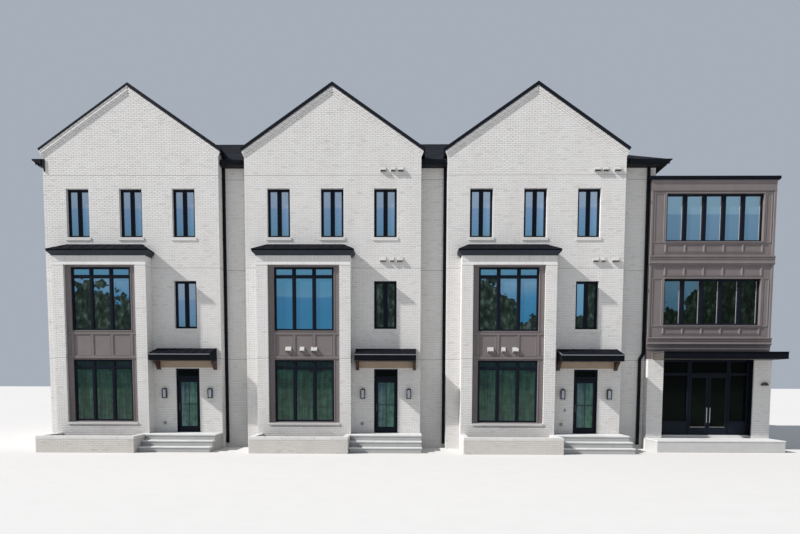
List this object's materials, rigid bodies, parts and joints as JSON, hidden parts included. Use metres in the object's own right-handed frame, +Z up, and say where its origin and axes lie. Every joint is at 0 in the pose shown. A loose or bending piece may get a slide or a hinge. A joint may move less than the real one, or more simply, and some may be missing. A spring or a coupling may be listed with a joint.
{
  "type": "terraced house row",
  "caption": "Row of gabled light-brick town houses with panelled bays, glazed entry doors under dark canopies, and a panelled end block with a shop front.",
  "frame": {"origin": "centre of the footprint box at the lowest ground", "axes": "+X along the street to the viewer's right, +Y from the street into the building, +Z up"},
  "size_m": [28.456, 13.916, 13.7516],
  "materials": {
    "light_brick": "light fired clay brick in running bond",
    "pier_brick": "light grey-buff brick",
    "taupe_panel": "painted boards and panels, satin",
    "dark_frame": "near-black painted frames",
    "window_glass": "clear window glass",
    "dark_metal": "dark standing-seam and folded sheet metal",
    "gutter_metal": "dark brown painted metal",
    "dark_timber": "stained timber",
    "shingle": "charcoal roof shingles",
    "light_stone": "honed light grey cast stone",
    "floor_slab": "plain concrete",
    "planter_bed": "bare planter bed",
    "soffit_board": "painted soffit board",
    "lamp_metal": "dark painted metal lantern",
    "box_grey": "grey painted box",
    "white_hood": "white moulded outlet hood"
  },
  "bodies": {
    "building": {"floors": "floor_slab", "gable_walls": "light_brick", "entry_walls_over": "light_brick", "front_wall_piers": "light_brick", "return_walls": "light_brick", "link_walls": "light_brick", "party_walls": "light_brick", "left_end_wall": "light_brick", "rear_walls": "light_brick", "bay_piers": "light_brick", "bay_brickwork": "light_brick", "bay_casings": "taupe_panel", "bay_window_frames": "dark_frame", "bay_roofs": "dark_metal", "casement_frames": "dark_frame", "house_glass": "window_glass", "window_sills": "light_stone", "door_frames": "dark_frame", "entry_canopies": "dark_metal", "canopy_timbers": "dark_timber", "entry_steps": "light_stone", "planter_walls": "pier_brick", "planter_caps": "light_stone", "planter_floors": "planter_bed", "main_roof": "shingle", "gable_roofs": "shingle", "rake_trims": "dark_metal", "rake_corbels": "light_brick", "gutters": "gutter_metal", "soffits": "soffit_board", "wall_lamps": "lamp_metal", "wall_boxes": "box_grey", "vent_hoods": "white_hood", "block_front_wall": "taupe_panel", "block_mouldings": "taupe_panel", "block_piers": "pier_brick", "block_frames": "dark_frame", "block_glass": "window_glass", "block_canopy": "dark_metal", "block_coping": "dark_metal", "block_roof": "floor_slab", "block_landing": "light_stone"},
    "door_1": {"door_leaf_1": "dark_frame", "door_glass_1": "window_glass"},
    "door_2": {"door_leaf_2": "dark_frame", "door_glass_2": "window_glass"},
    "door_3": {"door_leaf_3": "dark_frame", "door_glass_3": "window_glass"},
    "shop_left": {"shop_door_left": "dark_frame", "shop_glass_left": "window_glass"},
    "shop_right": {"shop_door_right": "dark_frame", "shop_glass_right": "window_glass"}
  },
  "joints": [
    {"name": "front_door_1", "type": "hinge", "parent": "building", "child": "door_1", "pos_m": [-7.998, -4.786, 1.6], "axis": [0, 0, -1], "range_deg": [0, 90]},
    {"name": "front_door_2", "type": "hinge", "parent": "building", "child": "door_2", "pos_m": [-0.302, -4.786, 1.6], "axis": [0, 0, -1], "range_deg": [0, 90]},
    {"name": "front_door_3", "type": "hinge", "parent": "building", "child": "door_3", "pos_m": [7.394, -4.786, 1.6], "axis": [0, 0, -1], "range_deg": [0, 90]},
    {"name": "shop_door_left_hinge", "type": "hinge", "parent": "building", "child": "shop_left", "pos_m": [11.138, -4.54, 1.7], "axis": [0, 0, -1], "range_deg": [0, 90]},
    {"name": "shop_door_right_hinge", "type": "hinge", "parent": "building", "child": "shop_right", "pos_m": [12.638, -4.54, 1.7], "axis": [0, 0, 1], "range_deg": [0, 90]}
  ]
}
